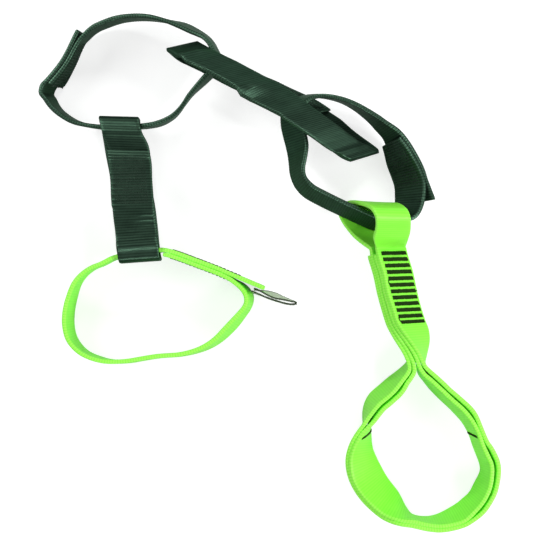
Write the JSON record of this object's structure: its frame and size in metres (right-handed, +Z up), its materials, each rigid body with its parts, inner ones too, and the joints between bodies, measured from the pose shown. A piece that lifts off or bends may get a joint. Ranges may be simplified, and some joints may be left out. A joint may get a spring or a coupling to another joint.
{
  "type": "daisy chain",
  "caption": "Climbing daisy chain of sewn webbing links: bar-tacked tie-in link, middle links joined as a chain and a labelled end link, laid out in a loose curve.",
  "frame": {"origin": "middle of the laid-out chain's bounding box, on the surface it lies on", "axes": "+Z up, away from the surface; +Y towards the top of the picture, from the tie-in link to the middle links; +X to the right of the picture"},
  "size_m": [0.2788, 0.3139, 0.0638],
  "materials": {
    "link_1_webbing": "woven lime nylon",
    "link_1_bar_tack_01": "dense black thread",
    "link_1_bar_tack_02": "dense black thread",
    "link_1_bar_tack_03": "dense black thread",
    "link_1_bar_tack_04": "dense black thread",
    "link_1_bar_tack_05": "dense black thread",
    "link_1_bar_tack_06": "dense black thread",
    "link_1_bar_tack_07": "dense black thread",
    "link_1_bar_tack_08": "dense black thread",
    "link_1_bar_tack_09": "dense black thread",
    "link_1_bar_tack_10": "dense black thread",
    "link_1_bar_tack_11": "dense black thread",
    "link_1_bar_tack_12": "dense black thread",
    "link_1_keeper_tack_left": "dense black thread",
    "link_1_keeper_tack_right": "dense black thread",
    "link_2_webbing": "woven black-green nylon",
    "link_2_seam_stitching": "matching thread",
    "link_3_webbing": "woven black-green nylon",
    "link_3_seam_stitching": "matching thread",
    "link_4_webbing": "woven black-green nylon",
    "link_4_seam_stitching": "matching thread",
    "link_5_webbing": "woven black-green nylon",
    "link_5_seam_stitching": "matching thread",
    "link_6_webbing": "woven lime nylon",
    "link_6_seam_stitching": "dark thread",
    "link_6_label": "bare white label tape"
  },
  "bodies": {
    "link_1": {"link_1_webbing": "link_1_webbing", "link_1_bar_tack_01": "link_1_bar_tack_01", "link_1_bar_tack_02": "link_1_bar_tack_02", "link_1_bar_tack_03": "link_1_bar_tack_03", "link_1_bar_tack_04": "link_1_bar_tack_04", "link_1_bar_tack_05": "link_1_bar_tack_05", "link_1_bar_tack_06": "link_1_bar_tack_06", "link_1_bar_tack_07": "link_1_bar_tack_07", "link_1_bar_tack_08": "link_1_bar_tack_08", "link_1_bar_tack_09": "link_1_bar_tack_09", "link_1_bar_tack_10": "link_1_bar_tack_10", "link_1_bar_tack_11": "link_1_bar_tack_11", "link_1_bar_tack_12": "link_1_bar_tack_12", "link_1_keeper_tack_left": "link_1_keeper_tack_left", "link_1_keeper_tack_right": "link_1_keeper_tack_right"},
    "link_2": {"link_2_webbing": "link_2_webbing", "link_2_seam_stitching": "link_2_seam_stitching"},
    "link_3": {"link_3_webbing": "link_3_webbing", "link_3_seam_stitching": "link_3_seam_stitching"},
    "link_4": {"link_4_webbing": "link_4_webbing", "link_4_seam_stitching": "link_4_seam_stitching"},
    "link_5": {"link_5_webbing": "link_5_webbing", "link_5_seam_stitching": "link_5_seam_stitching"},
    "link_6": {"link_6_webbing": "link_6_webbing", "link_6_seam_stitching": "link_6_seam_stitching", "link_6_label": "link_6_label"}
  },
  "joints": [
    {"name": "link_6_lifts_in_link_5", "type": "hinge", "parent": "link_5", "child": "link_6", "pos_m": [-0.07913, 0.01346, 0.0032], "axis": [-0.9929, -0.1189, 0], "range_deg": [0, 60]},
    {"name": "link_4_lifts_in_link_5", "type": "hinge", "parent": "link_5", "child": "link_4", "pos_m": [-0.08902, 0.08816, 0.00473], "axis": [0.9887, 0.0026, 0.1501], "range_deg": [0, 75]},
    {"name": "link_3_lifts_on_link_4", "type": "hinge", "parent": "link_4", "child": "link_3", "pos_m": [-0.0322, 0.12127, 0.01552], "axis": [-0.5776, -0.8058, -0.1306], "range_deg": [0, 30]},
    {"name": "link_2_lifts_in_link_3", "type": "hinge", "parent": "link_3", "child": "link_2", "pos_m": [0.00691, 0.08652, 0.01656], "axis": [0.2409, -0.9683, -0.0657], "range_deg": [0, 20]},
    {"name": "link_1_lifts_on_link_2", "type": "hinge", "parent": "link_2", "child": "link_1", "pos_m": [0.06044, 0.02952, 0.00547], "axis": [-0.9118, 0.3629, 0.1922], "range_deg": [0, 12]}
  ]
}
